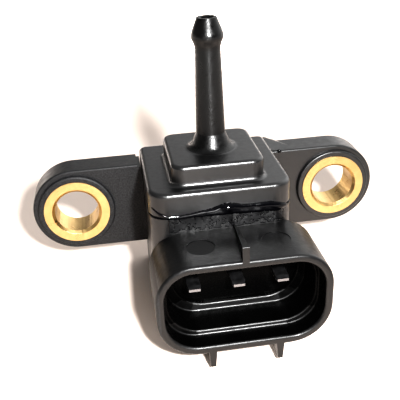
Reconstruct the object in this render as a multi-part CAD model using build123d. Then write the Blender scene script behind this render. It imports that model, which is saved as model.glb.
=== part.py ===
from build123d import *
import os

# X runs from ear to ear, Y runs from the plug side to the mounting face and Z runs up the hose stub.
# The origin is midway between the two fixing holes, on the mounting face. All sizes are in millimetres.

# Fixing ears and bushings
hole_spacing = 40.0
bushing_outer_radius = 4.9
bushing_wall = 1.6
bushing_length = 5.0
bushing_chamfer = 0.4
bushing_groove_depth = 0.3
bushing_groove_width = 1.0
ear_end_radius = 6.5
ear_thickness = 4.3
ear_boss_wall = 0.85
ear_boss_height = 0.55
ear_edge_round = 0.3
ear_root_step_depth = 0.4
ear_root_step_width = 0.5
ear_root_clearance = 0.1
ear_ramp_height = 0.85
ear_ramp_back_length = 2.2
ear_ramp_toe_length = 3.5
ear_ramp_toe_depth = 2.5
ear_ramp_front_length = 1.6
ear_ramp_front_height = 0.2

# Case that holds the circuit
case_half_width = 9.75
case_front_y = -18.1
case_back_y = 0.0
case_bottom_z = -11.65
case_front_corner_radius = 2.5
case_back_corner_radius = 1.0
case_wall = 1.4
case_back_wall = 1.6
case_bottom_round = 0.5
tub_floor_wall = 1.6
joint_gap = 0.4
joint_middle_z = 4.3
tub_floor_z = -2.2
tub_corner_radius = 1.3
shelf_top_z = 0.9
front_shelf_depth = 2.0
rear_ledge_depth = 1.3
pocket_rib_half_width = 0.8
pocket_side_wall = 1.55
pocket_bottom_wall = 1.45
pocket_front_wall = 1.7
pocket_blade_wall = 1.4
pocket_corner_radius = 1.0

# Plug socket
socket_centre_x = 1.2
socket_half_width = 11.6
socket_top_z = 1.95
socket_length = 9.05
socket_root_overlap = 1.1
socket_top_corner_radius = 5.0
socket_bottom_corner_radius = 5.6
socket_wall = 1.1
socket_floor_wall = 1.2
socket_rim_round = 0.4
socket_root_round = 0.8
lead_in_depth = 2.75
blade_set_back = 4.05
guide_step_side = 0.6
guide_step_top = 0.5
guide_step_floor = 0.65
guide_to_seat = 0.65
seat_step_side = 1.2
seat_step_top = 0.5
seat_step_floor = 1.05
seat_to_case = 1.15
room_edge_round = 0.24
key_spacing = 9.1
key_height = 2.2
key_root_width = 1.0
key_tip_width = 0.65
key_back_gap = 0.5
fin_width = 0.9
fin_back_width = 0.2
fin_front_height = 2.1
fin_edge_round = 0.15
fin_back_height = 0.4
mark_spacing = 10.0
mark_radius = 1.9
mark_depth = 0.08
mark_to_case = 4.4

# Terminals
terminal_middle_x = 1.1
terminal_to_case_side = 2.65
blade_width = 1.8
blade_thickness = 0.64
blade_z = -4.2
blade_tip_bevel = 0.13
blade_tip_bevel_length = 0.7
leg_width = 0.9
leg_to_tub_wall = 1.15
leg_top_z = 2.7
bend_round = 0.6

# Cover with hose stub
cover_back_gap = 0.05
cover_top_z = 7.75
cover_edge_round = 0.6
cover_ceiling = 1.5
cap_half_width = 6.35
cap_half_length = 6.4
cap_top_z = 10.7
cap_corner_radius = 1.7
cap_edge_round = 0.55
cap_base_fillet = 0.6
tongue_clearance = 0.15
tongue_wall = 0.9
tongue_inner_corner_radius = 0.65
tongue_bottom_z = 2.9
chamber_half_width = 4.7
chamber_top_z = 9.4
chamber_corner_radius = 0.8
sleeve_bore_radius = 3.0
sleeve_outer_radius = 4.0
sleeve_bottom_z = 5.9
stub_y = -9.95
stub_bore_radius = 0.85
stub_tip_z = 28.5
stub_tip_radius = 1.35
stub_mouth_chamfer = 0.15
bead_radius = 2.17
bead_z = 26.05
bead_cone_radius = 2.0
bead_cone_z = 26.85
neck_radius = 1.72
neck_z = 24.4
stub_root_radius = 2.0
stub_root_z = 13.6
flare_radius = 3.0
flare_top_z = 12.95
flare_root_fillet = 1.2

# Adhesive in the joint
adhesive_recess = 0.15
squeeze_start_x = -1.6
squeeze_end_x = 8.0
squeeze_height = 1.3
squeeze_depth = 0.4
squeeze_round = 0.35
squeeze_z = 4.55

# Circuit board and its parts
board_thickness = 0.8
board_clearance = 0.25
leg_hole_radius = 0.65
solder_radius = 0.95
solder_height = 0.75
solder_neck = 0.15
chip_part_length = 2.0
chip_part_width = 1.25
capacitor_height = 0.9
resistor_height = 0.55
side_capacitor_margin = 1.2
rear_row_margin = 2.5
rear_row_pitch = 3.0
converter_half_width = 2.5
converter_height = 1.0
chip_part_round = 0.08

# Sensing package
package_half_width = 4.0
package_cup_height = 3.2
package_floor = 1.0
cavity_half_width = 2.7
lid_thickness = 0.8
port_radius = 1.9
port_bore_radius = 0.7
port_top_z = 8.2
lead_thickness = 0.25
lead_width = 0.8
lead_offset_y = 1.6
lead_inner_x = 2.0
lead_bend_x = 4.6
lead_foot_x = 5.5
die_half_width = 1.0
pedestal_height = 1.0
die_height = 0.4
die_recess_half_width = 0.6
membrane_thickness = 0.06
gel_top_gap = 0.4
wire_radius = 0.05
wire_start_x = 0.8
wire_start_offset_y = 0.8
wire_end_x = 2.35
wire_loop = 0.2
seal_cord_radius = 0.55
filter_thickness = 0.8

# How close two places count as one, and how deep a shape starts inside the wall that it grows from
near = 1e-3
rooted = 0.5

# Places that follow from the sizes above
bushing_bore_radius = bushing_outer_radius - bushing_wall
ear_boss_radius = bushing_outer_radius + ear_boss_wall
ear_start_x = case_half_width - case_front_corner_radius
ear_root_x = case_half_width + ear_root_clearance
terminal_pitch = case_half_width - terminal_middle_x - terminal_to_case_side
housing_rim_z = joint_middle_z - joint_gap / 2
skirt_bottom_z = joint_middle_z + joint_gap / 2
socket_bottom_z = case_bottom_z
socket_mouth_y = case_front_y - socket_length
seat_end_y = case_front_y - seat_to_case
guide_end_y = seat_end_y - guide_to_seat
lead_in_end_y = socket_mouth_y + lead_in_depth
tub_half_width = case_half_width - case_wall
tub_front_y = case_front_y + case_wall
tub_back_y = case_back_y - case_back_wall
leg_y = tub_front_y + leg_to_tub_wall
board_half_width = tub_half_width - board_clearance
board_front_y = tub_front_y + board_clearance
board_back_y = tub_back_y - board_clearance
board_corner_radius = tub_corner_radius - board_clearance
board_bottom_z = shelf_top_z
board_top_z = board_bottom_z + board_thickness
blade_tip_y = socket_mouth_y + blade_set_back
blade_back_y = leg_y + blade_thickness / 2
blade_bottom_z = blade_z - blade_thickness / 2
cap_front_y = stub_y - cap_half_length
cap_back_y = stub_y + cap_half_length
cover_back_y = case_back_y - cover_back_gap
side_capacitor_x = board_half_width - side_capacitor_margin
rear_row_y = board_back_y - rear_row_margin


def plate(x0, x1, y0, y1, z0, z1, radius=0.0):
    """A block between two heights with rounded upright corners."""
    centre = ((x0 + x1) / 2, (y0 + y1) / 2, z0)
    shape = RectangleRounded(x1 - x0, y1 - y0, radius) if radius else Rectangle(x1 - x0, y1 - y0)
    return extrude(Plane(origin=centre) * shape, z1 - z0)


def case_block(half_width, y0, y1, z0, z1, inset=0.0):
    """A block with the case's outline, or with one that is smaller by an inset."""
    block = plate(-half_width, half_width, y0, y1, z0, z1)
    corners = block.edges().filter_by(Axis.Z).sort_by(Axis.Y)
    block = fillet(corners[:2], case_front_corner_radius - inset)
    corners = block.edges().filter_by(Axis.Z).sort_by(Axis.Y)
    return fillet(corners[-2:], case_back_corner_radius - inset)


def tunnel(x0, x1, z0, z1, y0, y1, bottom_radius, top_radius):
    """A block along Y with rounded long corners."""
    block = plate(x0, x1, y0, y1, z0, z1)
    corners = block.edges().filter_by(Axis.Y).sort_by(Axis.Z)
    block = fillet(corners[:2], bottom_radius)
    corners = block.edges().filter_by(Axis.Y).sort_by(Axis.Z)
    return fillet(corners[-2:], top_radius)


def rod_y(x, z, radius, y0, y1):
    """A cylinder along Y."""
    plane = Plane(origin=(x, y0, z), x_dir=(1, 0, 0), z_dir=(0, 1, 0))
    return extrude(plane * Circle(radius), y1 - y0)


def rod_z(x, y, radius, z0, z1):
    """A cylinder along Z."""
    return extrude(Plane(origin=(x, y, z0)) * Circle(radius), z1 - z0)


def make_bushing(x):
    body = rod_y(x, 0, bushing_outer_radius, -bushing_length, 0)
    groove_y = -bushing_length / 2
    y0, y1 = groove_y - bushing_groove_width / 2, groove_y + bushing_groove_width / 2
    floor_radius = bushing_outer_radius - bushing_groove_depth
    body -= rod_y(x, 0, bushing_outer_radius, y0, y1) - rod_y(x, 0, floor_radius, y0, y1)
    body -= rod_y(x, 0, bushing_bore_radius, -bushing_length, 0)
    rims = [e for e in body.edges().filter_by(GeomType.CIRCLE) if abs(e.radius - bushing_bore_radius) < near]
    return chamfer(rims, bushing_chamfer)


def bushing_envelope(x):
    """The room that a bushing takes in its ear, with its groove."""
    y0 = -bushing_length / 2 - bushing_groove_width / 2
    y1 = y0 + bushing_groove_width
    body = rod_y(x, 0, bushing_outer_radius, -bushing_length, 0)
    return body - (rod_y(x, 0, bushing_outer_radius, y0, y1)
                   - rod_y(x, 0, bushing_outer_radius - bushing_groove_depth, y0, y1))


def make_terminal(x):
    z0, z1 = blade_bottom_z, blade_bottom_z + blade_thickness
    half = blade_width / 2
    blade = plate(x - half, x + half, blade_tip_y, blade_back_y, z0, z1)
    tip = blade.faces().sort_by(Axis.Y)[0].edges()
    blade = chamfer(tip, blade_tip_bevel, blade_tip_bevel_length, reference=blade.faces().sort_by(Axis.Y)[0])
    leg = plate(x - leg_width / 2, x + leg_width / 2, leg_y - blade_thickness / 2, blade_back_y, z0,
                leg_top_z)
    body = blade + leg
    back_low = [e for e in body.edges().filter_by(Axis.X)
                if abs(e.center().Y - blade_back_y) < near and abs(e.center().Z - z0) < near]
    return fillet(back_low, bend_round)


def make_ear_ramp():
    """The slope on top of the right ear, from the side of the cover down to the ear."""
    top = ear_end_radius
    peak = Vector(ear_root_x, 0, top + ear_ramp_height)
    back_toe = Vector(ear_root_x + ear_ramp_back_length, 0, top)
    side_toe = Vector(ear_root_x + ear_ramp_toe_length, -ear_ramp_toe_depth, top)
    front_toe = Vector(ear_root_x + ear_ramp_front_length, -ear_thickness + ear_edge_round, top)
    front_peak = Vector(ear_root_x, -ear_thickness + ear_edge_round, top + ear_ramp_front_height)
    rim = [peak, back_toe, side_toe, front_toe, front_peak]
    foot = [Vector(corner.X, corner.Y, top - rooted) for corner in rim]
    count = len(rim)
    sides = [Face(Wire.make_polygon([foot[i], foot[(i + 1) % count], rim[(i + 1) % count], rim[i]]))
             for i in range(count)]
    slopes = [Face(Wire.make_polygon(corners)) for corners in ((peak, back_toe, side_toe),
              (peak, side_toe, front_toe), (peak, front_toe, front_peak))]
    return Solid(Shell([Face(Wire.make_polygon(foot)), *sides, *slopes]))


def make_ear(side):
    x = side * hole_spacing / 2
    inner = side * ear_start_x
    low, high = sorted((x, inner))
    ear = rod_y(x, 0, ear_end_radius, -ear_thickness, 0)
    ear += plate(low, high, -ear_thickness, 0, -ear_end_radius, ear_end_radius)
    front = [e for e in ear.edges() if abs(e.center().Y + ear_thickness) < near
             and side * e.center().X > ear_start_x + near]
    ear = fillet(front, ear_edge_round)
    boss = rod_y(x, 0, ear_boss_radius, -ear_thickness - ear_boss_height, -ear_thickness)
    rim = [e for e in boss.edges().filter_by(GeomType.CIRCLE)
           if abs(e.center().Y + ear_thickness + ear_boss_height) < near]
    ear += fillet(rim, ear_edge_round)
    low, high = sorted((inner, side * ear_root_x))
    ear -= plate(low, high, -ear_thickness, 0, housing_rim_z, ear_end_radius)
    if side > 0:
        return ear + make_ear_ramp()
    step_z = ear_end_radius - ear_root_step_depth
    return ear - plate(-ear_root_x - ear_root_step_width, -ear_root_x, -ear_thickness, 0, step_z,
                       ear_end_radius)


def make_shell():
    x0, x1 = socket_centre_x - socket_half_width, socket_centre_x + socket_half_width
    root_y = case_front_y + socket_root_overlap
    shell = tunnel(x0, x1, socket_bottom_z, socket_top_z, socket_mouth_y, root_y,
                   socket_bottom_corner_radius, socket_top_corner_radius)
    back = [e for e in shell.edges() if abs(e.center().Y - root_y) < near]
    return fillet(back, socket_root_round)


def make_socket_room():
    """The stepped room inside the plug socket: lead-in, guide and seat."""
    x0 = socket_centre_x - socket_half_width + socket_wall
    x1 = socket_centre_x + socket_half_width - socket_wall
    z0, z1 = socket_bottom_z + socket_floor_wall, socket_top_z - socket_wall
    radii = (socket_bottom_corner_radius - socket_floor_wall, socket_top_corner_radius - socket_wall)
    room = tunnel(x0, x1, z0, z1, socket_mouth_y, lead_in_end_y, *radii)
    x0, x1 = x0 + guide_step_side, x1 - guide_step_side
    z0, z1 = z0 + guide_step_floor, z1 - guide_step_top
    room += tunnel(x0, x1, z0, z1, socket_mouth_y, guide_end_y, *radii)
    x0, x1 = x0 + seat_step_side, x1 - seat_step_side
    z0, z1 = z0 + seat_step_floor, z1 - seat_step_top
    room += tunnel(x0, x1, z0, z1, socket_mouth_y, seat_end_y, *radii)
    steps = [e for e in room.edges() if socket_mouth_y + near < e.center().Y < seat_end_y - near
             and e.bounding_box().size.Y < near]
    return fillet(steps, room_edge_round)


def make_key(x):
    """A key rib under the socket."""
    plane = Plane(origin=(x, socket_mouth_y, socket_bottom_z), x_dir=(1, 0, 0), z_dir=(0, 1, 0))
    root, tip = key_root_width / 2, key_tip_width / 2
    # The drawing plane's own Y axis points down here.
    outline = Polyline((-root, -rooted), (root, -rooted), (root, 0), (tip, key_height), (-tip, key_height),
                       (-root, 0), close=True)
    return extrude(plane * make_face(outline), socket_length - key_back_gap)


def make_fin():
    """The latch fin on top of the socket, low and thin at the case, tall and thick at the mouth."""
    left = socket_centre_x - fin_width / 2
    back_left = left + fin_width - fin_back_width
    plane = Plane(origin=(left, 0, 0), x_dir=(0, 1, 0), z_dir=(1, 0, 0))
    base = socket_top_z - rooted
    inside_y = case_front_y + rooted
    outline = Polyline((socket_mouth_y, base), (inside_y, base), (inside_y, socket_top_z + fin_back_height),
                       (case_front_y, socket_top_z + fin_back_height),
                       (socket_mouth_y, socket_top_z + fin_front_height), close=True)
    fin = extrude(plane * make_face(outline), fin_width)
    waste = Polyline((left, socket_mouth_y), (back_left, case_front_y), (back_left, inside_y),
                     (left, inside_y), close=True)
    fin -= extrude(Plane(origin=(0, 0, base)) * make_face(waste), rooted + fin_front_height)
    front_top = [e for e in fin.edges().filter_by(Axis.X) if abs(e.center().Y - socket_mouth_y) < near]
    return fillet(front_top, fin_edge_round)


def make_housing(terminals):
    case = case_block(case_half_width, case_front_y, case_back_y, case_bottom_z, housing_rim_z)
    bottom = [e for e in case.edges() if abs(e.center().Z - case_bottom_z) < near]
    body = fillet(bottom, case_bottom_round)
    body += make_shell()
    body += make_ear(-1)
    body += make_ear(1)
    for side in (-1, 1):
        body += make_key(socket_centre_x + side * key_spacing / 2)
    body += make_fin()
    body -= make_socket_room()
    body -= plate(-tub_half_width, tub_half_width, tub_front_y, tub_back_y, tub_floor_z, housing_rim_z,
                  tub_corner_radius)
    body += plate(-tub_half_width, tub_half_width, tub_front_y, tub_front_y + front_shelf_depth,
                  tub_floor_z, shelf_top_z)
    body += plate(-tub_half_width, tub_half_width, tub_back_y - rear_ledge_depth, tub_back_y,
                  tub_floor_z, shelf_top_z)
    for side in (-1, 1):
        low, high = sorted((side * pocket_rib_half_width, side * (case_half_width - pocket_side_wall)))
        under_blades = (blade_bottom_z - pocket_blade_wall, case_front_y + pocket_front_wall)
        behind_blades = (tub_floor_z - tub_floor_wall, blade_back_y + pocket_blade_wall)
        for top_z, front_y in (under_blades, behind_blades):
            body -= tunnel(low, high, case_bottom_z + pocket_bottom_wall, top_z, front_y, case_back_y,
                           pocket_corner_radius, pocket_corner_radius)
        body -= rod_z(socket_centre_x + side * mark_spacing / 2, case_front_y - mark_to_case, mark_radius,
                      socket_top_z - mark_depth, socket_top_z)
        body -= bushing_envelope(side * hole_spacing / 2)
    for terminal in terminals:
        body -= terminal
    mouth = [e for e in body.edges() if abs(e.center().Y - socket_mouth_y) < near
             and socket_bottom_z - near < e.center().Z < socket_top_z + near and e.length > key_root_width]
    return body, mouth


def make_stub():
    """The hose stub as a solid of revolution, with its bore left for the cover to cut."""
    inside = cap_top_z - rooted
    cone = (stub_tip_radius - bead_cone_radius, stub_tip_z - bead_cone_z)
    with BuildSketch(Plane.XZ) as profile:
        with BuildLine():
            Polyline((0, stub_tip_z), (0, inside), (flare_radius, inside), (flare_radius, cap_top_z),
                     (stub_root_radius, flare_top_z), (stub_root_radius, stub_root_z), (neck_radius, neck_z))
            Spline((neck_radius, neck_z), (bead_radius, bead_z), (bead_cone_radius, bead_cone_z),
                   tangents=((0, 1), cone))
            Polyline((bead_cone_radius, bead_cone_z), (stub_tip_radius, stub_tip_z), (0, stub_tip_z))
        make_face()
    return Pos(0, stub_y, 0) * revolve(profile.sketch, Axis.Z)


def make_cover():
    lid = case_block(case_half_width, case_front_y, cover_back_y, skirt_bottom_z, cover_top_z)
    rim = [e for e in lid.edges() if abs(e.center().Z - cover_top_z) < near]
    cap = plate(-cap_half_width, cap_half_width, cap_front_y, cap_back_y, cover_top_z - rooted, cap_top_z,
                cap_corner_radius)
    cap_rim = [e for e in cap.edges() if abs(e.center().Z - cap_top_z) < near]
    body = fillet(rim, cover_edge_round) + fillet(cap_rim, cap_edge_round)
    base = [e for e in body.edges() if abs(e.center().Z - cover_top_z) < near
            and abs(e.center().X) < cap_half_width + near
            and cap_front_y - near < e.center().Y < cap_back_y + near]
    body = fillet(base, cap_base_fillet) + make_stub()
    root = [e for e in body.edges().filter_by(GeomType.CIRCLE)
            if abs(e.center().Z - cap_top_z) < near and abs(e.radius - flare_radius) < near]
    body = fillet(root, flare_root_fillet)
    inner_x = tub_half_width - tongue_clearance
    front, back = tub_front_y + tongue_clearance, tub_back_y - tongue_clearance
    body += plate(-inner_x, inner_x, front, back, tongue_bottom_z, cover_top_z - cover_ceiling + rooted,
                  tub_corner_radius - tongue_clearance)
    body -= plate(-inner_x + tongue_wall, inner_x - tongue_wall, front + tongue_wall, back - tongue_wall,
                  tongue_bottom_z, cover_top_z - cover_ceiling, tongue_inner_corner_radius)
    body -= plate(-chamber_half_width, chamber_half_width, stub_y - chamber_half_width,
                  stub_y + chamber_half_width, tongue_bottom_z, chamber_top_z, chamber_corner_radius)
    sleeve = rod_z(0, stub_y, sleeve_outer_radius, sleeve_bottom_z, chamber_top_z)
    body += sleeve - rod_z(0, stub_y, sleeve_bore_radius, sleeve_bottom_z, chamber_top_z)
    body -= rod_z(0, stub_y, stub_bore_radius, chamber_top_z, stub_tip_z)
    mouth = [e for e in body.edges().filter_by(GeomType.CIRCLE)
             if abs(e.center().Z - stub_tip_z) < near and abs(e.radius - stub_bore_radius) < near]
    return chamfer(mouth, stub_mouth_chamfer)


def make_adhesive():
    """The bead that fills the joint, with the part that was squeezed out at the front."""
    outer = case_half_width - adhesive_recess
    front, back = case_front_y + adhesive_recess, cover_back_y - adhesive_recess
    inner_x = tub_half_width - tongue_clearance
    inner_front, inner_back = tub_front_y + tongue_clearance, tub_back_y - tongue_clearance
    ring = case_block(outer, front, back, housing_rim_z, skirt_bottom_z, adhesive_recess)
    ring -= plate(-inner_x, inner_x, inner_front, inner_back, housing_rim_z, skirt_bottom_z,
                  tub_corner_radius - tongue_clearance)
    length = squeeze_end_x - squeeze_start_x
    centre = (squeeze_end_x + squeeze_start_x) / 2
    plane = Plane(origin=(centre, case_front_y, squeeze_z), x_dir=(1, 0, 0), z_dir=(0, -1, 0))
    outline = plane * SlotOverall(length, squeeze_height)
    blob = extrude(outline, squeeze_depth)
    rim = [e for e in blob.edges() if abs(e.center().Y - case_front_y + squeeze_depth) < near]
    blob = fillet(rim, squeeze_round)
    bridge = plate(squeeze_start_x + squeeze_height, squeeze_end_x - squeeze_height, case_front_y, front,
                   housing_rim_z, skirt_bottom_z)
    return ring + bridge + blob


def make_board(terminals_x):
    board = plate(-board_half_width, board_half_width, board_front_y, board_back_y, board_bottom_z,
                  board_top_z, board_corner_radius)
    for x in terminals_x:
        board -= rod_z(x, leg_y, leg_hole_radius, board_bottom_z, board_top_z)
    return board


def make_solder(x):
    cone = Pos(x, leg_y, board_top_z + solder_height / 2) * Cone(solder_radius, leg_width / 2 + solder_neck,
                                                               solder_height)
    leg = plate(x - leg_width / 2, x + leg_width / 2, leg_y - blade_thickness / 2, blade_back_y,
                board_bottom_z, leg_top_z)
    return cone - leg


def make_chip_part(x, y, along_x, along_y, height):
    part = plate(x - along_x / 2, x + along_x / 2, y - along_y / 2, y + along_y / 2, board_top_z,
                 board_top_z + height)
    return fillet(part.edges().filter_by(Axis.Z), chip_part_round)


def make_lead(side, row):
    y = stub_y + row * lead_offset_y
    y0, y1 = y - lead_width / 2, y + lead_width / 2
    floor = board_top_z + package_floor
    low, high = sorted((side * lead_inner_x, side * lead_bend_x))
    lead = plate(low, high, y0, y1, floor, floor + lead_thickness)
    low, high = sorted((side * (lead_bend_x - lead_thickness), side * lead_bend_x))
    lead += plate(low, high, y0, y1, board_top_z, floor)
    low, high = sorted((side * (lead_bend_x - lead_thickness), side * lead_foot_x))
    return lead + plate(low, high, y0, y1, board_top_z, board_top_z + lead_thickness)


def make_wire(side, row):
    y = stub_y + row * wire_start_offset_y
    floor = board_top_z + package_floor
    start_z = floor + pedestal_height + die_height
    end_z = floor + lead_thickness
    top = start_z + wire_loop
    x0, x1 = side * wire_start_x, side * wire_end_x
    y_end = stub_y + row * lead_offset_y
    path = Polyline((x0, y, start_z), (x0, y, top), (x1, y_end, top), (x1, y_end, end_z))
    section = Plane(origin=(x0, y, start_z)) * Circle(wire_radius)
    return sweep(section, path=path, transition=Transition.RIGHT)


def make_package(leads):
    half = package_half_width
    floor = board_top_z + package_floor
    top = board_top_z + package_cup_height
    cup = plate(-half, half, stub_y - half, stub_y + half, board_top_z, top)
    room = cavity_half_width
    cup -= plate(-room, room, stub_y - room, stub_y + room, floor, top)
    for lead in leads:
        cup -= lead
    lid = plate(-half, half, stub_y - half, stub_y + half, top, top + lid_thickness)
    lid += rod_z(0, stub_y, port_radius, top + lid_thickness, port_top_z)
    lid -= rod_z(0, stub_y, port_bore_radius, top, port_top_z)
    return cup, lid


def make_die():
    floor = board_top_z + package_floor
    half = die_half_width
    pedestal_top = floor + pedestal_height
    pedestal = plate(-half, half, stub_y - half, stub_y + half, floor, pedestal_top)
    die = plate(-half, half, stub_y - half, stub_y + half, pedestal_top, pedestal_top + die_height)
    recess = die_recess_half_width
    die -= plate(-recess, recess, stub_y - recess, stub_y + recess, pedestal_top,
                 pedestal_top + die_height - membrane_thickness)
    return pedestal, die


def make_gel(solids):
    floor = board_top_z + package_floor
    top = board_top_z + package_cup_height - gel_top_gap
    half = cavity_half_width
    gel = plate(-half, half, stub_y - half, stub_y + half, floor, top)
    die_room = plate(-die_half_width, die_half_width, stub_y - die_half_width, stub_y + die_half_width, floor,
                     floor + pedestal_height + die_height)
    gel -= die_room
    for solid in solids:
        gel -= solid
    return gel


terminal_x = {"left": terminal_middle_x - terminal_pitch, "middle": terminal_middle_x,
              "right": terminal_middle_x + terminal_pitch}
parts = {}
for name, x in terminal_x.items():
    parts[f"terminal_{name}"] = make_terminal(x)
housing, mouth_edges = make_housing([parts[f"terminal_{name}"] for name in terminal_x])
parts["housing"] = fillet(mouth_edges, socket_rim_round)
parts["cover"] = make_cover()
parts["bushing_left"] = make_bushing(-hole_spacing / 2)
parts["bushing_right"] = make_bushing(hole_spacing / 2)
parts["adhesive_bead"] = make_adhesive()
parts["circuit_board"] = make_board(terminal_x.values())
for name, x in terminal_x.items():
    parts[f"solder_{name}"] = make_solder(x)
parts["capacitor_left"] = make_chip_part(-side_capacitor_x, stub_y, chip_part_width, chip_part_length,
                                         capacitor_height)
parts["capacitor_right"] = make_chip_part(side_capacitor_x, stub_y, chip_part_width, chip_part_length,
                                          capacitor_height)
parts["capacitor_rear"] = make_chip_part(rear_row_pitch, rear_row_y, chip_part_length, chip_part_width,
                                         capacitor_height)
parts["resistor_middle"] = make_chip_part(0, rear_row_y, chip_part_length, chip_part_width, resistor_height)
parts["resistor_rear"] = make_chip_part(-rear_row_pitch, rear_row_y, chip_part_length, chip_part_width,
                                        resistor_height)
parts["signal_converter"] = plate(-converter_half_width, converter_half_width, stub_y - converter_half_width,
                                  stub_y + converter_half_width, board_bottom_z - converter_height,
                                  board_bottom_z)
leads = {}
wires = {}
for side_name, side in (("left", -1), ("right", 1)):
    for row_name, row in (("front", -1), ("rear", 1)):
        leads[f"package_lead_{side_name}_{row_name}"] = make_lead(side, row)
        wires[f"bond_wire_{side_name}_{row_name}"] = make_wire(side, row)
parts["package_cup"], parts["package_lid"] = make_package(leads.values())
parts["glass_pedestal"], parts["pressure_chip"] = make_die()
parts["protective_gel"] = make_gel([*leads.values(), *wires.values()])
parts.update(leads)
parts.update(wires)
package_top_z = board_top_z + package_cup_height + lid_thickness
parts["seal_ring"] = Pos(0, stub_y, package_top_z + seal_cord_radius) * Torus(port_radius + seal_cord_radius,
                                                                          seal_cord_radius)
parts["port_filter"] = rod_z(0, stub_y, sleeve_bore_radius, chamber_top_z - filter_thickness, chamber_top_z)

os.makedirs("parts", exist_ok=True)
for name, shape in parts.items():
    export_step(shape, f"parts/{name}.step")
    print(name, len(shape.solids()), round(shape.volume, 3), shape.is_valid)
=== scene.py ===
import math

import bpy
import numpy as np
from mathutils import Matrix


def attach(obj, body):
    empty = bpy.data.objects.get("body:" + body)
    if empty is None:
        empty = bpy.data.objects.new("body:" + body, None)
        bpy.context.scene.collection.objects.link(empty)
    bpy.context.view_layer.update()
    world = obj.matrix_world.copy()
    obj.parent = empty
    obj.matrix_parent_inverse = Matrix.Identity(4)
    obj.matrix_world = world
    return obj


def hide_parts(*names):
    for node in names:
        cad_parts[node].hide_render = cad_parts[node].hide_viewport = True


# Lengths in this script are in millimetres, and the scene is in metres
MM = 0.001

# Camera at the photograph's viewing angle
CAMERA_PLACE = (-13.204, -94.255, 45.152)
CAMERA_TURN = (63.2966, 2.3384, -8.8045)
CAMERA_LENS = 58.8
CAMERA_SENSOR = 36.0
CAMERA_NEAR = 1.0
CAMERA_FAR = 100000.0

# What the floor touches: the back edge of the case and the back ends of its key ribs
CASE_BACK_BOTTOM_Z = -11.65
RIB_END_Y = -18.6
RIB_BOTTOM_Z = -13.85

# Floor, in one pale colour, with a glow far from the sensor that keeps it pale there
FLOOR_HALF = 2000.0
FLOOR_COLOUR = (0.9, 0.78, 0.7)
FLOOR_ROUGH = 0.9
GLOW_RADIUS = (70.0, 150.0)
FLOOR_GLOW = 0.85

# Main light, in front and above
KEY_PLACE = (11.2, -126.1, 73.2)
KEY_AIM = (0.0, -6.0, 0.0)
KEY_RADIUS = 5.0
KEY_CONE = 64.0
KEY_BLEND = 0.9
KEY_WATTS = 1.45

# Light for the floor behind the sensor
BACK_PLACE = (0.0, 125.0, 120.0)
BACK_AIM = (0.0, 335.0, -13.85)
BACK_SIZE = 120.0
BACK_WATTS = 1.0

# Weak light low in front
FRONT_PLACE = (0.0, -84.0, 6.0)
FRONT_AIM = (0.0, -56.0, -18.0)
FRONT_SIZE = 20.0
FRONT_WATTS = 0.012

# Studio surround: a faint base, a soft ceiling, a bright window behind on the right and the pale backdrop
SURROUND_BASE = 0.04
CEILING_LEVEL = 0.36
CEILING_SHARPNESS = 1.0
WINDOW_LEVEL = 1.9
WINDOW_TURN = 58.0
WINDOW_RISE = 25.0
WINDOW_SHARPNESS = 4.0
BACKDROP_LEVEL = 0.9

# How strongly each part of the black plastic reflects. The lower values on the socket, the hose stub, the
# room and the step corners are painted shade, and the higher one on the room's steps is a painted highlight
HOUSING_SHINE = 0.85
SOCKET_SHINE = 0.5
WORN_SHINE = 0.4
COVER_SHINE = 0.9
STUB_SHINE = 0.48
STEP_SHINE = 1.0
DIM_STEP_SHINE = 0.35
ROOM_SHINE = 0.06

# How rough it is, from its smoother to its rougher spots
HOUSING_ROUGH = (0.32, 0.44)
COVER_ROUGH = (0.28, 0.38)
STUB_ROUGH = (0.26, 0.42)
STEP_ROUGH = (0.34, 0.5)
ROOM_ROUGH = (0.24, 0.3)

# How high its grain and its waves stand
HOUSING_RELIEF = (0.008, 0.005)
SOCKET_RELIEF = (0.014, 0.005)
WORN_RELIEF = (0.014, 0.005)
COVER_RELIEF = (0.009, 0.012)
STUB_RELIEF = (0.022, 0.02)
STEP_RELIEF = (0.012, 0.004)
ROOM_RELIEF = (0.003, 0.004)

# Its two blacks, each from its darker to its lighter spots: the plastic's own black, and a darker one that is
# painted shade on the room inside the socket, its steps and the hose stub
SOFT_BLACK = ((0.003, 0.003, 0.0031), (0.006, 0.006, 0.0062))
PAINTED_SHADE_BLACK = ((0.001, 0.001, 0.001), (0.002, 0.002, 0.002))

# How fine its spots, its grain and its waves are
SPOT_SCALE = 1300.0
GRAIN_SCALE = 3000.0
WAVE_SCALE = 260.0

# Part of a noise's range that is spread over a whole look
MIDDLE_RANGE = (0.35, 0.65)
WIDE_RANGE = (0.3, 0.7)

# Hose stub, above the cap
STUB_Y = -9.95
STUB_ROOT_Z = 10.75
STUB_REACH = 4.5

# Plug socket, the room inside it and the two steps on the room's floor
SOCKET_START_Y = -18.3
ROOM_CENTRE = (1.2, -22.95, -4.8)
ROOM_HALF = (10.8, 3.85, 5.95)
ROOM_CORNER = 4.3
ROOM_STEPS_Y = (-24.4, -19.9)
STEP_HALF = 0.42
STEP_TOP_Z = -8.0
STEP_STRAIGHT = 6.2

# Left round mark on the socket's roof, which is duller than its surroundings
MARK_CENTRE = (-3.8, -22.5, 1.95)
MARK_RADIUS = 1.9
MARK_FADE_START = 0.92
MARK_ROUGH = 0.75

# Front of the left ear, which is worn and dusty
WORN_EAR_X = -9.9
WORN_EAR_Y = -4.22
WORN_ROUGH = 0.55
DUST_COLOUR = (0.035, 0.035, 0.037)
DUST_SCALE = 4200.0
DUST_RANGE = (0.35, 0.75)

# Looks with one colour: how dark their low spots are and how far their roughness goes either way
LOW_SPOT_SHARE = 0.85
ROUGH_SWING = 0.05

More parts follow.
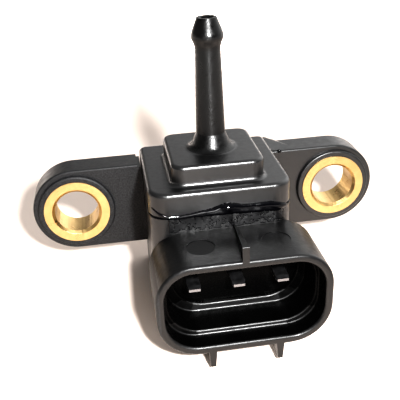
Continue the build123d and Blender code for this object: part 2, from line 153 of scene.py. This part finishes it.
# Bushings of turned brass
HOLE_X = 20.0
BRASS_COLOURS = ((0.58, 0.39, 0.17), (0.75, 0.56, 0.28))
BRASS_ROUGH = (0.26, 0.4)
BRASS_SPOT_SCALE = 900.0
BRASS_SPOT_RELIEF = 0.02
TURNING_SCALE = 9000.0
TURNING_RELIEF = 0.02
SCRATCH_SCALE = 9.0
SCRATCH_RELIEF = 0.12

# Tinned blades in the socket
BLADE_COLOUR = (0.3, 0.3, 0.31)
BLADE_ROUGH = 0.42
BLADE_GRAIN_SCALE = 1500.0
BLADE_GRAIN = 0.003
BLADES = ("terminal_left", "terminal_middle", "terminal_right")

# Pieces inside the case, which don't show: the look's name, colour, roughness and metal, and who wears it
CORNERS = ("left_front", "left_rear", "right_front", "right_rear")
INNER_LOOKS = (
    ("board", (0.03, 0.2, 0.08), 0.45, 0.0, ("circuit_board",)),
    ("solder", (0.68, 0.69, 0.71), 0.3, 1.0, ("solder_left", "solder_middle", "solder_right")),
    ("package", (0.03, 0.03, 0.033), 0.55, 0.0, ("package_cup", "package_lid", "signal_converter")),
    ("silicon", (0.25, 0.27, 0.33), 0.08, 1.0, ("pressure_chip",)),
    ("pedestal_glass", (0.75, 0.82, 0.8), 0.1, 0.0, ("glass_pedestal",)),
    ("soft_gel", (0.8, 0.82, 0.8), 0.15, 0.0, ("protective_gel",)),
    ("ceramic_tan", (0.45, 0.33, 0.2), 0.6, 0.0, ("capacitor_left", "capacitor_right", "capacitor_rear")),
    ("ceramic_black", (0.03, 0.03, 0.035), 0.5, 0.0, ("resistor_middle", "resistor_rear")),
    ("seal", (0.02, 0.02, 0.02), 0.6, 0.0, ("seal_ring",)),
    ("porous_disc", (0.8, 0.8, 0.77), 0.9, 0.0, ("port_filter",)),
    ("tinned_lead", (0.72, 0.72, 0.73), 0.3, 1.0, tuple(f"package_lead_{corner}" for corner in CORNERS)),
    ("gold_wire", (0.9, 0.68, 0.3), 0.2, 1.0, tuple(f"bond_wire_{corner}" for corner in CORNERS)),
)

# Case and the joint between case and cover, which the adhesive fills
CASE_HALF_X = 9.75
CASE_FRONT_Y = -18.1
CASE_BACK_Y = -0.05
CASE_FRONT_CORNER = 2.5
CASE_BACK_CORNER = 1.0
JOINT_BOTTOM_Z = 4.1
JOINT_TOP_Z = 4.5
JOINT_RECESS = 0.15
JOINT_WALL = 1.55
JOINT_CORNER_STEPS = 8
JOINT_SMALLEST_CORNER = 0.2

# Bead of adhesive on the front: place from left to right, bottom and top there, and how far it stands out
BEAD_ROWS = (
    (-9.9, 5.5, 5.6, 0.0), (-9.5, 5.25, 5.6, 0.1), (-8.4, 4.6, 5.05, 0.14), (-7.3, 4.1, 4.58, 0.14),
    (-6.0, 4.0, 4.5, 0.12), (-4.4, 4.05, 4.68, 0.16), (-2.4, 4.05, 4.98, 0.22), (-1.2, 4.05, 5.2, 0.3),
    (0.0, 4.0, 5.62, 0.38), (0.7, 4.0, 5.73, 0.4), (1.5, 4.0, 5.6, 0.38), (2.4, 3.95, 5.35, 0.33),
    (3.7, 3.9, 5.3, 0.34), (5.2, 3.85, 5.34, 0.36), (6.5, 3.8, 5.28, 0.33), (7.85, 3.75, 4.9, 0.25),
    (8.9, 4.0, 4.45, 0.12), (9.4, 4.1, 4.3, 0.0),
)
ADHESIVE_STEP = 0.08
LUMP_CELL = 11
LUMP_SEED = 3
LUMP_SHIFT = 0.12
LUMP_SWELL = 0.2

# Swelling of the bead that catches the light
SWELLING_PLACE = (0.72, 5.05)
SWELLING_REACH = (0.7, 0.35)
SWELLING_HEIGHT = 0.14

# Thin rough film of adhesive below the bead, with the share, cell and seed of each noise in it
FILM_LEFT = -7.4
FILM_RIGHT = 8.6
FILM_BOTTOM_Z = 2.05
FILM_TOP_Z = 4.3
FILM_HEIGHT = 0.11
FILM_NOISES = ((0.45, 9, 5), (0.35, 4, 6), (0.2, 2, 8))
FILM_START = 0.42
FILM_SIDE_FADE = 1.5
FILM_BOTTOM_FADE = 1.6
FILM_TOP_FADE = 0.1

# Drop of adhesive on the front top edge of the right ear
DROPLET_PLACE = (11.45, -4.15, 6.38)
DROPLET_RADIUS = 0.3
DROPLET_STRETCH = 1.3
DROPLET_AROUND = 12
DROPLET_LAYERS = 5
DROPLET_TIP = 0.02

# Look of the adhesive, wet in the bead and dull in the film
WET_COLOUR = (0.002, 0.002, 0.003)
WET_ROUGH = 0.09
WET_SHINE = 0.35
WET_GRAIN_SCALE = 1800.0
WET_GRAIN = 0.003
DULL_COLOUR = (0.004, 0.004, 0.0045)
DULL_ROUGH = 0.36
DULL_GRAIN_SCALE = 2600.0


def in_metres(values):
    """Lengths given in millimetres, in the scene's metres."""
    return tuple(v * MM for v in values)


def material(name):
    mat = bpy.data.materials.new(name)
    mat.use_nodes = True
    tree = mat.node_tree
    return mat, tree, tree.nodes["Principled BSDF"]


def node(tree, kind, **values):
    made = tree.nodes.new(kind)
    for key, value in values.items():
        setattr(made, key, value)
    return made


def feed(tree, socket, value):
    """Gives a socket a number, or the output of another node."""
    if isinstance(value, float):
        socket.default_value = value
    else:
        tree.links.new(value, socket)


def object_place(tree):
    return node(tree, "ShaderNodeTexCoord").outputs["Object"]


def noise(tree, where, scale, detail=3.0, rough=0.5):
    made = node(tree, "ShaderNodeTexNoise")
    made.inputs["Scale"].default_value = scale
    made.inputs["Detail"].default_value = detail
    made.inputs["Roughness"].default_value = rough
    tree.links.new(where, made.inputs["Vector"])
    return made.outputs["Fac"]


def spread(tree, value, source, target):
    """Maps one range to another."""
    made = node(tree, "ShaderNodeMapRange")
    for key, number in zip(("From Min", "From Max", "To Min", "To Max"), (*source, *target)):
        made.inputs[key].default_value = number
    tree.links.new(value, made.inputs["Value"])
    return made.outputs["Result"]


def bump(tree, height, distance, strength=1.0, before=None):
    made = node(tree, "ShaderNodeBump")
    made.inputs["Strength"].default_value = strength
    made.inputs["Distance"].default_value = distance
    tree.links.new(height, made.inputs["Height"])
    if before is not None:
        tree.links.new(before, made.inputs["Normal"])
    return made.outputs["Normal"]


def mix_colour(tree, factor, first, second):
    made = node(tree, "ShaderNodeMix", data_type="RGBA")
    made.inputs["A"].default_value = (*first, 1.0)
    made.inputs["B"].default_value = (*second, 1.0)
    tree.links.new(factor, made.inputs["Factor"])
    return made.outputs["Result"]


def blend(tree, factor, first, second):
    """Goes from the first value to the second one as the factor goes from 0 to 1."""
    made = node(tree, "ShaderNodeMix")
    feed(tree, made.inputs["A"], first)
    feed(tree, made.inputs["B"], second)
    tree.links.new(factor, made.inputs["Factor"])
    return made.outputs["Result"]


def math_node(tree, operation, first, second):
    made = node(tree, "ShaderNodeMath", operation=operation)
    feed(tree, made.inputs[0], first)
    feed(tree, made.inputs[1], second)
    return made.outputs[0]


def vector_node(tree, operation, first, second=None):
    made = node(tree, "ShaderNodeVectorMath", operation=operation)
    tree.links.new(first, made.inputs[0])
    if second is not None:
        made.inputs[1].default_value = second
    return made.outputs["Value" if operation in ("LENGTH", "DOT_PRODUCT") else "Vector"]


def split_place(tree, place):
    """The x, y and z of a place."""
    made = node(tree, "ShaderNodeSeparateXYZ")
    tree.links.new(place, made.inputs["Vector"])
    return made.outputs


def near_place(tree, place, centre, radius):
    """1 close to a place, fading to 0 at its edge."""
    away = vector_node(tree, "LENGTH", vector_node(tree, "SUBTRACT", place, in_metres(centre)))
    return spread(tree, away, (MARK_FADE_START * radius * MM, radius * MM), (1.0, 0.0))


def black_nodes(name, shine, blacks, rough_range, relief):
    """Moulded plastic, a fine grain over a slightly wavy face, with what another look needs to add to it."""
    mat, tree, shader = material(name)
    place = object_place(tree)
    spots = noise(tree, place, SPOT_SCALE, detail=4.0, rough=0.6)
    grain = noise(tree, place, GRAIN_SCALE, detail=2.0)
    waves = noise(tree, place, WAVE_SCALE, detail=2.0)
    colour = mix_colour(tree, spots, *blacks)
    rough = spread(tree, spots, MIDDLE_RANGE, rough_range)
    grained = bump(tree, grain, relief[0] * MM)
    tree.links.new(bump(tree, waves, relief[1] * MM, before=grained), shader.inputs["Normal"])
    shader.inputs["Specular IOR Level"].default_value = shine
    tree.links.new(colour, shader.inputs["Base Color"])
    tree.links.new(rough, shader.inputs["Roughness"])
    return mat, tree, shader, place, colour, rough


def black_plastic(name, shine, blacks, rough_range, relief):
    return black_nodes(name, shine, blacks, rough_range, relief)[0]


def housing_look(name, shine, relief):
    """The housing's plastic, with a worn left ear and a duller round mark on the socket's roof."""
    made = black_nodes(name, shine, SOFT_BLACK, HOUSING_ROUGH, relief)
    mat, tree, shader, place, colour, rough = made
    along = split_place(tree, place)
    on_left = math_node(tree, "LESS_THAN", along["X"], WORN_EAR_X * MM)
    on_front = math_node(tree, "LESS_THAN", along["Y"], WORN_EAR_Y * MM)
    worn = math_node(tree, "MULTIPLY", on_left, on_front)
    specks = spread(tree, noise(tree, place, DUST_SCALE, rough=0.7), DUST_RANGE, (0.0, 1.0))
    dusted = node(tree, "ShaderNodeMix", data_type="RGBA")
    dusted.inputs["B"].default_value = (*DUST_COLOUR, 1.0)
    tree.links.new(math_node(tree, "MULTIPLY", worn, specks), dusted.inputs["Factor"])
    tree.links.new(colour, dusted.inputs["A"])
    tree.links.new(dusted.outputs["Result"], shader.inputs["Base Color"])
    rough = blend(tree, worn, rough, WORN_ROUGH)
    on_mark = near_place(tree, place, MARK_CENTRE, MARK_RADIUS)
    tree.links.new(blend(tree, on_mark, rough, MARK_ROUGH), shader.inputs["Roughness"])
    return mat


def plain(name, colour, rough, metal=0.0, grain_scale=2500.0, grain=0.01):
    """One colour with a fine grain that is a little darker and smoother in its low spots."""
    mat, tree, shader = material(name)
    shader.inputs["Metallic"].default_value = metal
    value = noise(tree, object_place(tree), grain_scale)
    darker = tuple(LOW_SPOT_SHARE * c for c in colour)
    rough_range = (max(rough - ROUGH_SWING, 0.0), rough + ROUGH_SWING)
    tree.links.new(mix_colour(tree, value, darker, colour), shader.inputs["Base Color"])
    tree.links.new(spread(tree, value, WIDE_RANGE, rough_range), shader.inputs["Roughness"])
    tree.links.new(bump(tree, value, grain * MM), shader.inputs["Normal"])
    return mat


def turned_brass(name, centre_x):
    """Brass with the fine rings that turning leaves round the bore, and scratches across them."""
    mat, tree, shader = material(name)
    shader.inputs["Metallic"].default_value = 1.0
    place = object_place(tree)
    along = split_place(tree, place)
    flat = node(tree, "ShaderNodeCombineXYZ")
    tree.links.new(math_node(tree, "SUBTRACT", along["X"], centre_x * MM), flat.inputs["X"])
    tree.links.new(along["Z"], flat.inputs["Z"])
    from_bore = flat.outputs["Vector"]
    rings = node(tree, "ShaderNodeTexNoise", noise_dimensions="1D")
    rings.inputs["Scale"].default_value = TURNING_SCALE
    rings.inputs["Detail"].default_value = 2.0
    tree.links.new(vector_node(tree, "LENGTH", from_bore), rings.inputs["W"])
    spots = noise(tree, place, BRASS_SPOT_SCALE, detail=4.0)
    scratches = noise(tree, vector_node(tree, "NORMALIZE", from_bore), SCRATCH_SCALE, rough=0.7)
    tree.links.new(mix_colour(tree, spots, *BRASS_COLOURS), shader.inputs["Base Color"])
    tree.links.new(spread(tree, spots, WIDE_RANGE, BRASS_ROUGH), shader.inputs["Roughness"])
    turned = bump(tree, rings.outputs["Fac"], TURNING_RELIEF * MM, strength=0.8)
    scratched = bump(tree, scratches, SCRATCH_RELIEF * MM, strength=0.6, before=turned)
    spotted = bump(tree, spots, BRASS_SPOT_RELIEF * MM, strength=0.5, before=scratched)
    tree.links.new(spotted, shader.inputs["Normal"])
    return mat


def dress(mat, *names):
    for name in names:
        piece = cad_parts[name]
        piece.data.materials.clear()
        piece.data.materials.append(mat)


def add_look(mesh, mat):
    """Adds a look to a mesh and says which number it has there."""
    mesh.materials.append(mat)
    return len(mesh.materials) - 1


def is_in_room(centre):
    out = np.abs(np.array(centre) / MM - ROOM_CENTRE)
    past = np.maximum(out - (ROOM_HALF[0] - ROOM_CORNER, 0.0, ROOM_HALF[2] - ROOM_CORNER), 0.0)
    return out[1] < ROOM_HALF[1] and math.hypot(past[0], past[2]) < ROOM_CORNER


def dress_housing():
    """Gives the housing its plastic, with lit and shaded copies of it: painted shade on the socket, in the
    room and on the step corners, and a painted highlight on the room's steps.
    """
    dress(housing_look("moulded_plastic", HOUSING_SHINE, HOUSING_RELIEF), "housing")
    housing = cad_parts["housing"].data
    # Darker copy that barely reflects, in the room: painted shade
    room = add_look(housing, black_plastic("room_painted_shade", ROOM_SHINE, PAINTED_SHADE_BLACK, ROOM_ROUGH, ROOM_RELIEF))
    # Copy that reflects more than the housing, on the room's steps: painted highlight
    step = add_look(housing, black_plastic("step_plastic", STEP_SHINE, PAINTED_SHADE_BLACK, STEP_ROUGH, STEP_RELIEF))
    # Copy that reflects less, on the socket: painted shade
    socket = add_look(housing, housing_look("socket_painted_shade", SOCKET_SHINE, SOCKET_RELIEF))
    # Copy that reflects less, on the steps' corners: painted shade
    dim_step_shade = black_plastic("dim_step_painted_shade", DIM_STEP_SHINE, PAINTED_SHADE_BLACK, STEP_ROUGH, STEP_RELIEF)
    dim_step = add_look(housing, dim_step_shade)
    worn = add_look(housing, housing_look("worn_plastic", WORN_SHINE, WORN_RELIEF))
    for face in housing.polygons:
        x, y, z = (v / MM for v in face.center)
        if is_in_room(face.center):
            on_step = any(abs(y - step_y) < STEP_HALF for step_y in ROOM_STEPS_Y) and z < STEP_TOP_Z
            on_corner = abs(x - ROOM_CENTRE[0]) > STEP_STRAIGHT
            face.material_index = (dim_step if on_corner else step) if on_step else room
        elif y < SOCKET_START_Y:
            face.material_index = socket
        elif x < WORN_EAR_X and y < WORN_EAR_Y:
            face.material_index = worn


def dress_cover():
    """Gives the cover its plastic, and the hose stub a darker, rougher copy that reflects less, which is
    painted shade.
    """
    dress(black_plastic("cover_plastic", COVER_SHINE, SOFT_BLACK, COVER_ROUGH, COVER_RELIEF), "cover")
    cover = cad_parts["cover"].data
    # Darker copy that reflects less, on the hose stub: painted shade
    stub = add_look(cover, black_plastic("stub_painted_shade", STUB_SHINE, PAINTED_SHADE_BLACK, STUB_ROUGH, STUB_RELIEF))
    for face in cover.polygons:
        x, y, z = (v / MM for v in face.center)
        if z > STUB_ROOT_Z and math.hypot(x, y - STUB_Y) < STUB_REACH:
            face.material_index = stub


def outline_point(along, x_half, y_front, corner, out):
    """A place on the case's front outline: how far along from its middle, and how far out from its face."""
    flat_half = x_half - corner
    if abs(along) <= flat_half:
        return along, y_front - out
    side = math.copysign(1.0, along)
    angle = (abs(along) - flat_half) / corner
    reach = corner + out
    return side * (flat_half + reach * math.sin(angle)), y_front + corner - reach * math.cos(angle)


def smooth_noise(rows, columns, cell, seed):
    """Soft bumps between 0 and 1 on a grid."""
    coarse = np.random.default_rng(seed).random((rows // cell + 3, columns // cell + 3))
    row = np.arange(rows) / cell
    column = np.arange(columns) / cell
    r = row.astype(int)
    c = column.astype(int)
    u = (row - r)[:, None]
    v = (column - c)[None, :]
    u = u * u * (3 - 2 * u)
    v = v * v * (3 - 2 * v)
    low = coarse[np.ix_(r, c)] * (1 - v) + coarse[np.ix_(r, c + 1)] * v
    high = coarse[np.ix_(r + 1, c)] * (1 - v) + coarse[np.ix_(r + 1, c + 1)] * v
    return low * (1 - u) + high * u


def rising(values, start, length):
    """0 up to the start and 1 from a length after it on."""
    return np.clip((values - start) / length, 0, 1)


def squeezed_bead():
    """Adhesive on the case's front: a lumpy bead and a thin rough film below it."""
    rows = np.array(BEAD_ROWS)
    along = np.arange(rows[0, 0], rows[-1, 0] + ADHESIVE_STEP / 2, ADHESIVE_STEP)
    up = np.arange(FILM_BOTTOM_Z, rows[:, 2].max() + 2 * ADHESIVE_STEP, ADHESIVE_STEP)
    bottom, top, depth = (np.interp(along, rows[:, 0], rows[:, k])[:, None] for k in (1, 2, 3))
    shape = (len(along), len(up))
    lumps = smooth_noise(*shape, LUMP_CELL, LUMP_SEED)
    across = (up - (bottom + top) / 2) / ((top - bottom) / 2) + LUMP_SHIFT * (lumps - 0.5)
    swell = 1 + LUMP_SWELL * (lumps - 0.5)
    height = depth * np.sqrt(np.clip(1 - across**2, 0, 1)) * swell
    along_swelling = (along - SWELLING_PLACE[0]) / SWELLING_REACH[0]
    up_swelling = (up - SWELLING_PLACE[1]) / SWELLING_REACH[1]
    swelling = SWELLING_HEIGHT * np.exp(-(along_swelling[:, None] ** 2 + up_swelling**2))
    height = np.where(height > 0, height + swelling, 0)
    rough = sum(share * smooth_noise(*shape, cell, seed) for share, cell, seed in FILM_NOISES)
    side_fade = rising(along, FILM_LEFT, FILM_SIDE_FADE) * rising(-along, -FILM_RIGHT, FILM_SIDE_FADE)
    end_fade = rising(up, FILM_BOTTOM_Z, FILM_BOTTOM_FADE) * rising(-up, -FILM_TOP_Z, FILM_TOP_FADE)
    film = FILM_HEIGHT * np.clip(rough - FILM_START, 0, 1) * side_fade[:, None] * end_fade
    is_film = film > height
    height = np.maximum(height, film)
    height[0] = height[-1] = 0
    height[:, 0] = height[:, -1] = 0
    return along, up, height, is_film


def ring_outline(reach):
    """The joint's outline, moved out or in by a reach, from its front left corner round."""
    x_half = CASE_HALF_X - JOINT_RECESS
    front = CASE_FRONT_Y + JOINT_RECESS
    back = CASE_BACK_Y - JOINT_RECESS
    front_corner = CASE_FRONT_CORNER - JOINT_RECESS
    back_corner = CASE_BACK_CORNER - JOINT_RECESS
    points = []
    for x, y, radius, start in ((-1, front, front_corner, 180), (1, front, front_corner, 270),
                                (1, back, back_corner, 0), (-1, back, back_corner, 90)):
        inward = 1 if y == front else -1
        size = max(radius + reach, JOINT_SMALLEST_CORNER)
        centre_x = x * (x_half + reach - size)
        centre_y = y + inward * (size - reach)
        for step in range(JOINT_CORNER_STEPS + 1):
            angle = math.radians(start + 90 * step / JOINT_CORNER_STEPS)
            points.append((centre_x + size * math.cos(angle), centre_y + size * math.sin(angle)))
    return points


def band(low, high, count):
    """Faces between two loops of vertices, which start at two numbers and have as many vertices each."""
    return [[low + n, low + (n + 1) % count, high + (n + 1) % count, high + n] for n in range(count)]


def add_joint_ring(vertices, faces):
    """The adhesive in the joint, all round the case."""
    inner = JOINT_RECESS - JOINT_WALL
    section = ((0.0, JOINT_BOTTOM_Z), (0.0, JOINT_TOP_Z), (inner, JOINT_TOP_Z), (inner, JOINT_BOTTOM_Z))
    first = len(vertices)
    for reach, z in section:
        vertices.extend(in_metres((x, y, z)) for x, y in ring_outline(reach))
    count = (len(vertices) - first) // len(section)
    for k in range(len(section)):
        faces.extend(band(first + k * count, first + (k + 1) % len(section) * count, count))


def add_droplet(vertices, faces):
    """A drop of adhesive on the front top edge of the right ear."""
    first = len(vertices)
    x, y, z = DROPLET_PLACE
    for layer in range(DROPLET_LAYERS + 1):
        rise = math.pi * (layer / DROPLET_LAYERS - 0.5)
        flat = DROPLET_RADIUS * max(math.cos(rise), DROPLET_TIP)
        level = z + DROPLET_RADIUS * math.sin(rise)
        for step in range(DROPLET_AROUND):
            turn = 2 * math.pi * step / DROPLET_AROUND
            out_x = DROPLET_STRETCH * flat * math.cos(turn)
            vertices.append(in_metres((x + out_x, y + flat * math.sin(turn), level)))
    for layer in range(DROPLET_LAYERS):
        low = first + layer * DROPLET_AROUND
        faces.extend(band(low, low + DROPLET_AROUND, DROPLET_AROUND))
    faces.append([first + n for n in range(DROPLET_AROUND)][::-1])
    faces.append([first + DROPLET_LAYERS * DROPLET_AROUND + n for n in range(DROPLET_AROUND)])


def adhesive_mesh():
    along, up, height, is_film = squeezed_bead()
    filled = height > 0
    cells = filled[:-1, :-1] | filled[1:, :-1] | filled[:-1, 1:] | filled[1:, 1:]
    outer = {}
    inner = {}
    vertices = []
    faces = []
    dull = []

    def vertex(store, i, j, out):
        if (i, j) not in store:
            x, y = outline_point(along[i], CASE_HALF_X, CASE_FRONT_Y, CASE_FRONT_CORNER, out)
            store[i, j] = len(vertices)
            vertices.append(in_metres((x, y, up[j])))
        return store[i, j]

    for i, j in zip(*np.nonzero(cells)):
        corners = ((i, j), (i + 1, j), (i + 1, j + 1), (i, j + 1))
        front = [vertex(outer, *corner, height[corner]) for corner in corners]
        rear = [vertex(inner, *corner, 0.0) if filled[corner] else own for corner, own in zip(corners, front)]
        faces.append(front)
        if rear != front:
            faces.append(rear[::-1])
        dull.extend([is_film[i, j]] * (len(faces) - len(dull)))
    add_joint_ring(vertices, faces)
    add_droplet(vertices, faces)
    mesh = bpy.data.meshes.new("joint_adhesive")
    mesh.from_pydata(vertices, [], faces)
    for face in mesh.polygons:
        face.use_smooth = True
        face.material_index = int(face.index < len(dull) and dull[face.index])
    return mesh


def floor_corner(x, y):
    """A place on the floor, which slopes from the back edge of the case to the back ends of its ribs."""
    slope = (CASE_BACK_BOTTOM_Z - RIB_BOTTOM_Z) / -RIB_END_Y
    return in_metres((x, y, CASE_BACK_BOTTOM_Z + slope * y))


def floor_look():
    mat, tree, shader = material("pale_floor")
    shader.inputs["Base Color"].default_value = (*FLOOR_COLOUR, 1.0)
    shader.inputs["Roughness"].default_value = FLOOR_ROUGH
    shader.inputs["Emission Color"].default_value = (1.0, 1.0, 1.0, 1.0)
    from_middle = vector_node(tree, "LENGTH", object_place(tree))
    glow = spread(tree, from_middle, in_metres(GLOW_RADIUS), (0.0, FLOOR_GLOW))
    tree.links.new(glow, shader.inputs["Emission Strength"])
    return mat


def place_light(name, data, place, aim):
    lamp = bpy.data.objects.new(name, data)
    lamp.location = in_metres(place)
    x, y, z = np.array(aim) - np.array(place)
    lamp.rotation_euler = (math.atan2(math.hypot(x, y), -z), 0.0, math.atan2(-x, y))
    lamp.visible_camera = False
    bpy.context.scene.collection.objects.link(lamp)


def disk_light(name, place, aim, size, watts):
    data = bpy.data.lights.new(name, "AREA")
    data.shape = "DISK"
    data.size = size * MM
    data.energy = watts
    place_light(name, data, place, aim)


def lobe(tree, direction, aim, sharpness, level):
    """Light that is brightest in one direction and fades away from it."""
    along = vector_node(tree, "DOT_PRODUCT", direction, aim)
    facing = math_node(tree, "MAXIMUM", along, 0.0)
    return math_node(tree, "MULTIPLY", math_node(tree, "POWER", facing, sharpness), level)


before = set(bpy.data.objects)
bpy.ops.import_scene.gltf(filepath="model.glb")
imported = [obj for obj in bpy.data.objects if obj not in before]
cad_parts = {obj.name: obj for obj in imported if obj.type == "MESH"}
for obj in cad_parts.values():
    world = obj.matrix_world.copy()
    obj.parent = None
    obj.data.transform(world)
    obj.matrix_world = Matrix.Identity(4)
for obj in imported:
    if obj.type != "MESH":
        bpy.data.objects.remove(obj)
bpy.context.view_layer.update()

dress_housing()
dress_cover()
dress(turned_brass("brass_left", -HOLE_X), "bushing_left")
dress(turned_brass("brass_right", HOLE_X), "bushing_right")
dress(plain("tinned_blade", BLADE_COLOUR, BLADE_ROUGH, 1.0, BLADE_GRAIN_SCALE, BLADE_GRAIN), *BLADES)
for look, colour, rough, metal, names in INNER_LOOKS:
    dress(plain(look, colour, rough, metal), *names)

adhesive = bpy.data.objects.new("joint_adhesive", adhesive_mesh())
bpy.context.scene.collection.objects.link(adhesive)
wet = plain("wet_adhesive", WET_COLOUR, WET_ROUGH, grain_scale=WET_GRAIN_SCALE, grain=WET_GRAIN)
wet.node_tree.nodes["Principled BSDF"].inputs["Specular IOR Level"].default_value = WET_SHINE
adhesive.data.materials.append(wet)
dull = plain("dull_adhesive", DULL_COLOUR, DULL_ROUGH, grain_scale=DULL_GRAIN_SCALE)
adhesive.data.materials.append(dull)
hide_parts("adhesive_bead")
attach(adhesive, "root")

floor_mesh = bpy.data.meshes.new("floor")
corner_signs = ((-1, -1), (1, -1), (1, 1), (-1, 1))
floor_corners = [floor_corner(x * FLOOR_HALF, y * FLOOR_HALF) for x, y in corner_signs]
floor_mesh.from_pydata(floor_corners, [], [(0, 1, 2, 3)])
floor_mesh.materials.append(floor_look())
floor = bpy.data.objects.new("floor", floor_mesh)
bpy.context.scene.collection.objects.link(floor)

key = bpy.data.lights.new("key_light", "SPOT")
key.energy = KEY_WATTS
key.spot_size = math.radians(KEY_CONE)
key.spot_blend = KEY_BLEND
key.shadow_soft_size = KEY_RADIUS * MM
place_light("key_light", key, KEY_PLACE, KEY_AIM)
disk_light("back_light", BACK_PLACE, BACK_AIM, BACK_SIZE, BACK_WATTS)
disk_light("front_light", FRONT_PLACE, FRONT_AIM, FRONT_SIZE, FRONT_WATTS)

world = bpy.data.worlds.new("studio")
world.use_nodes = True
sky = world.node_tree
direction = node(sky, "ShaderNodeTexCoord").outputs["Generated"]
turn = math.radians(WINDOW_TURN)
rise = math.radians(WINDOW_RISE)
window = (math.sin(turn) * math.cos(rise), math.cos(turn) * math.cos(rise), math.sin(rise))
ceiling_light = lobe(sky, direction, (0.0, 0.0, 1.0), CEILING_SHARPNESS, CEILING_LEVEL)
window_light = lobe(sky, direction, window, WINDOW_SHARPNESS, WINDOW_LEVEL)
level = math_node(sky, "ADD", math_node(sky, "ADD", ceiling_light, window_light), SURROUND_BASE)
seen = node(sky, "ShaderNodeLightPath").outputs["Is Camera Ray"]
background = sky.nodes["Background"]
sky.links.new(blend(sky, seen, level, BACKDROP_LEVEL), background.inputs["Strength"])
background.inputs["Color"].default_value = (1.0, 1.0, 1.0, 1.0)
bpy.context.scene.world = world
bpy.context.scene.view_settings.view_transform = "Standard"
bpy.context.scene.view_settings.look = "High Contrast"

camera_data = bpy.data.cameras.new("camera")
camera_data.lens = CAMERA_LENS
camera_data.sensor_width = CAMERA_SENSOR
camera_data.clip_start = CAMERA_NEAR * MM
camera_data.clip_end = CAMERA_FAR * MM
camera = bpy.data.objects.new("camera", camera_data)
camera.location = in_metres(CAMERA_PLACE)
camera.rotation_euler = [math.radians(v) for v in CAMERA_TURN]
bpy.context.scene.collection.objects.link(camera)
bpy.context.scene.camera = camera
